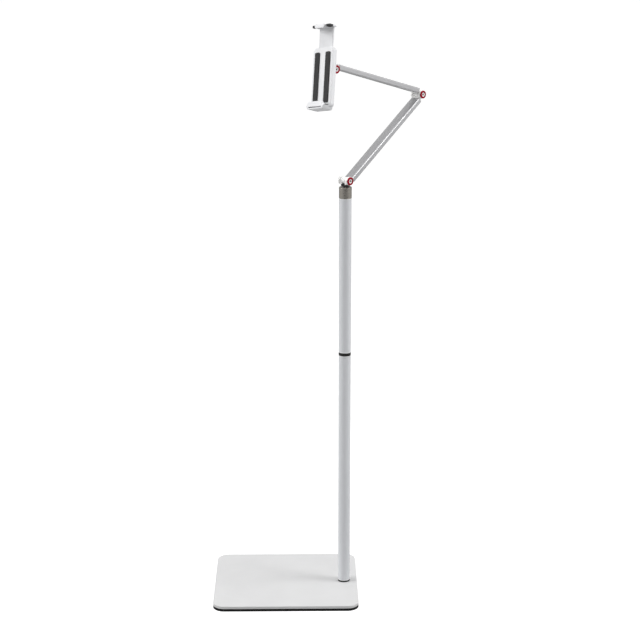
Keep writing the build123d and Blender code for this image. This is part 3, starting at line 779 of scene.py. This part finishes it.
strip_low = case_middle - strip_half_height
strip_high = case_middle + strip_half_height
strip_rib_run = strip_ribs * strip_rib_pitch - strip_rib_pitch + strip_rib_width
strip_ribs_low = case_middle - strip_rib_run / 2
strip_rib_sizes = (strip_ribs_low, strip_ribs, strip_rib_pitch, strip_rib_width)
ribbed = rib_line(*strip_rib_sizes, strip_root, strip_face)
strip_profile = [(strip_back, strip_low), (strip_root, strip_low), *ribbed]
strip_profile += [(strip_root, strip_high), (strip_back, strip_high)]
strip_left = strip_place - strip_half_width
strip_right = strip_place + strip_half_width
strip_corners = [
    (strip_left, strip_low, strip_corner),
    (strip_right, strip_low, strip_corner),
    (strip_right, strip_high, strip_corner),
    (strip_left, strip_high, strip_corner),
]
strips = slab("ribbed_back_strips", strip_profile, strip_left, strip_right, from_side)
strip_shape = slab("strip_shape", rounded(strip_corners), 2 * strip_back, 0, from_front)
joined_by(strips, strip_shape, "INTERSECT")
mirror_across(strips)
settle(strips, clamp_place, grip_rubber, "holder")
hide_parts("back_grip_pads")

# Upper jaw: one white moulding, a slotted blade that slides in the case and a shelf on its top,
# whose lip hooks over what it holds. A black rubber pad closes each end of the shelf.

jaw_back = -0.0157
jaw_front = 0.009
blade_front = -0.0117
bar_front = -0.005
lip_back = 0.0055
lip_edge = 0.072
shelf_seat = 0.0765
shelf_top = 0.0797
shelf_half = 0.0135
bar_half = 0.0235
lip_half = 0.0112
blade_half = 0.018
blade_end = -0.0515
lug_half = 0.0233
lug_low = -0.024
lug_high = -0.02
slot_half = 0.0075
slot_low = -0.0455
slot_high = 0.0295
shelf_corner = 0.003
bar_corner = 0.0015
lip_corner = 0.0025
jaw_edge = 0.0005
eased_above = radians(35)
end_pad_inner = 0.0136
end_pad_back = -0.005
end_pad_front = 0.004
end_pad_seat = 0.075
end_pad_corner = 0.0015
end_pad_ribs = 4
end_pad_rib_pitch = 0.0022
end_pad_rib_width = 0.0013
end_pad_rib_depth = 0.0005
end_pad_edge = 0.0002
beyond = 0.03


def ease_edges(piece, width, segments=3):
    """Rounds the edges of a piece that are sharper than eased_above."""
    only(piece)
    ease = piece.modifiers.new("ease", "BEVEL")
    ease.width = width
    ease.segments = segments
    ease.limit_method = "ANGLE"
    ease.angle_limit = eased_above
    ease.use_clamp_overlap = False
    bpy.ops.object.modifier_apply(modifier=ease.name)


shelf_corners = [
    (-bar_half, jaw_back, bar_corner),
    (bar_half, jaw_back, bar_corner),
    (bar_half, bar_front, bar_corner),
    (shelf_half, bar_front, 0),
    (shelf_half, jaw_front, shelf_corner),
    (-shelf_half, jaw_front, shelf_corner),
    (-shelf_half, bar_front, 0),
    (-bar_half, bar_front, bar_corner),
]
upper_jaw = slab("moulded_upper_jaw", rounded(shelf_corners), lip_edge, shelf_top, from_above)
under_shelf = [(-beyond, -beyond), (beyond, -beyond), (beyond, lip_back), (-beyond, lip_back)]
cut_with(upper_jaw, slab("under_shelf", under_shelf, 0, shelf_seat, from_above))
lip_corners = [
    (-beyond, shelf_top + beyond, 0),
    (beyond, shelf_top + beyond, 0),
    (beyond, lip_edge, 0),
    (shelf_half, shelf_seat, 0),
    (lip_half, lip_edge, lip_corner),
    (-lip_half, lip_edge, lip_corner),
    (-shelf_half, shelf_seat, 0),
    (-beyond, lip_edge, 0),
]
lip_shape = slab("lip_shape", rounded(lip_corners), -beyond, beyond, from_front)
joined_by(upper_jaw, lip_shape, "INTERSECT")
blade_top = (shelf_seat + shelf_top) / 2
blade_corners = [
    (-blade_half, blade_top, 0),
    (-blade_half, lug_high, 0),
    (-lug_half, lug_high, 0),
    (-lug_half, lug_low, 0),
    (-blade_half, lug_low, 0),
    (-blade_half, blade_end, bar_corner),
    (blade_half, blade_end, bar_corner),
    (blade_half, lug_low, 0),
    (lug_half, lug_low, 0),
    (lug_half, lug_high, 0),
    (blade_half, lug_high, 0),
    (blade_half, blade_top, 0),
]
blade = slab("blade", rounded(blade_corners), jaw_back, blade_front, from_front)
slot_corners = [
    (-slot_half, slot_low, slot_half),
    (slot_half, slot_low, slot_half),
    (slot_half, slot_high, slot_half),
    (-slot_half, slot_high, slot_half),
]
cut_with(blade, slab("slot", rounded(slot_corners, steps=8), -beyond, 0, from_front))
joined_by(upper_jaw, blade, "UNION")
ease_edges(upper_jaw, jaw_edge)
settle(upper_jaw, clamp_place, clamp_white, "upper_jaw")
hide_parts("upper_jaw")

end_pad_middle = (end_pad_back + end_pad_front) / 2
end_pad_rib_run = (end_pad_ribs - 1) * end_pad_rib_pitch + end_pad_rib_width
end_pad_ribs_back = end_pad_middle - end_pad_rib_run / 2
end_pad_rib_sizes = (end_pad_ribs_back, end_pad_ribs, end_pad_rib_pitch, end_pad_rib_width)
end_pad_root = end_pad_seat + end_pad_rib_depth
toothed = rib_line(*end_pad_rib_sizes, end_pad_root, end_pad_seat)
end_pad_profile = [(end_pad_back, shelf_top), (end_pad_back, end_pad_root)]
end_pad_profile += [(depth, height) for height, depth in toothed]
end_pad_profile += [(end_pad_front, end_pad_root), (end_pad_front, shelf_top)]
end_pads = slab("jaw_end_pads", end_pad_profile, end_pad_inner, bar_half, from_side)
end_pad_corners = [
    (end_pad_inner, end_pad_back, 0),
    (bar_half, end_pad_back, 0),
    (bar_half, end_pad_front, end_pad_corner),
    (end_pad_inner, end_pad_front, 0),
]
end_pad_shape = slab("pad_shape", rounded(end_pad_corners), 0, 2 * shelf_top, from_above)
joined_by(end_pads, end_pad_shape, "INTERSECT")
ease_edges(end_pads, end_pad_edge, segments=2)
mirror_across(end_pads)
settle(end_pads, clamp_place, grip_rubber, "upper_jaw")
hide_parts("upper_jaw_pads")

# Lower jaw: a white tray screwed under the case. Its sides taper to the floor, a deep slot runs
# across its front, its lip stands up at the front edge and two thin rubber pads lie in it.

tray_back = -0.0184
tray_front = 0.0098
tray_rim = -0.0775
tray_floor = -0.085
tray_rim_half = 0.0245
tray_floor_half = 0.019
tray_corner = 0.002
tray_edge = 0.0007
case_floor = -0.08
case_front = -0.006
tray_lip_top = -0.07
tray_lip_half = 0.0185
tray_lip_foot_half = 0.0215
tray_lip_corner = 0.0025
front_slot_half = 0.017
front_slot_height = 0.0022
front_slot_depth = 0.006
front_slot_roundness = 0.45
tray_bore_place = 0.012
tray_bore_depth = -0.0134
tray_bore_radius = 0.00156
tray_seat_radius = 0.0029
tray_seat_depth = 0.002
tray_pad_inner = 0.011
tray_pad_top = -0.076

tray_corners = [
    (-tray_rim_half, tray_rim, 0),
    (-tray_floor_half, tray_floor, tray_corner),
    (tray_floor_half, tray_floor, tray_corner),
    (tray_rim_half, tray_rim, 0),
]
lower_jaw = slab("moulded_tray", rounded(tray_corners), tray_back, tray_front, from_front)
case_place = [(-beyond, -beyond), (beyond, -beyond), (beyond, case_front), (-beyond, case_front)]
cut_with(lower_jaw, slab("case_place", case_place, case_floor, 0, from_above))
tray_lip_foot = tray_floor / 2 + tray_rim / 2
tray_lip_corners = [
    (-tray_lip_foot_half, tray_rim, 0),
    (-tray_floor_half, tray_lip_foot, 0),
    (tray_floor_half, tray_lip_foot, 0),
    (tray_lip_foot_half, tray_rim, 0),
    (tray_lip_half, tray_lip_top, tray_lip_corner),
    (-tray_lip_half, tray_lip_top, tray_lip_corner),
]
tray_lip = slab("tray_lip", rounded(tray_lip_corners), lip_back, tray_front, from_front)
joined_by(lower_jaw, tray_lip, "UNION")
ease_edges(lower_jaw, tray_edge)
front_slot_low = (tray_rim + tray_floor) / 2 - front_slot_height / 2
front_slot_high = (tray_rim + tray_floor) / 2 + front_slot_height / 2
front_slot_corner = front_slot_height * front_slot_roundness
front_slot_corners = [
    (-front_slot_half, front_slot_low, front_slot_corner),
    (front_slot_half, front_slot_low, front_slot_corner),
    (front_slot_half, front_slot_high, front_slot_corner),
    (-front_slot_half, front_slot_high, front_slot_corner),
]
front_slot_floor = tray_front - front_slot_depth
front_slot = slab("front_slot", rounded(front_slot_corners), front_slot_floor, beyond, from_front)
cut_with(lower_jaw, front_slot)
for side in (-1, 1):
    for radius, height in ((tray_bore_radius, beyond), (tray_seat_radius, tray_seat_depth)):
        pick_none()
        bpy.ops.mesh.primitive_cylinder_add(
            radius=radius,
            depth=2 * height,
            location=(side * tray_bore_place, tray_floor, tray_bore_depth),
            rotation=(pi / 2, 0, 0),
        )
        cut_with(lower_jaw, bpy.context.object)
settle(lower_jaw, clamp_place, clamp_white, "holder")
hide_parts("lower_jaw")

tray_pad_root = tray_pad_top - end_pad_rib_depth
toothed = rib_line(*end_pad_rib_sizes, tray_pad_root, tray_pad_top)
tray_pad_profile = [(end_pad_back, tray_rim), (end_pad_back, tray_pad_root)]
tray_pad_profile += [(depth, height) for height, depth in toothed]
tray_pad_profile += [(end_pad_front, tray_pad_root), (end_pad_front, tray_rim)]
tray_pads = slab("tray_pads", tray_pad_profile, tray_pad_inner, bar_half, from_side)
tray_pad_corners = [
    (tray_pad_inner, end_pad_back, end_pad_corner),
    (bar_half, end_pad_back, end_pad_corner),
    (bar_half, end_pad_front, end_pad_corner),
    (tray_pad_inner, end_pad_front, end_pad_corner),
]
tray_pad_shape = slab("tray_pad_shape", rounded(tray_pad_corners), -4 * beyond, 0, from_above)
joined_by(tray_pads, tray_pad_shape, "INTERSECT")
mirror_across(tray_pads)
settle(tray_pads, clamp_place, grip_rubber, "holder")
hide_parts("lower_jaw_pads")
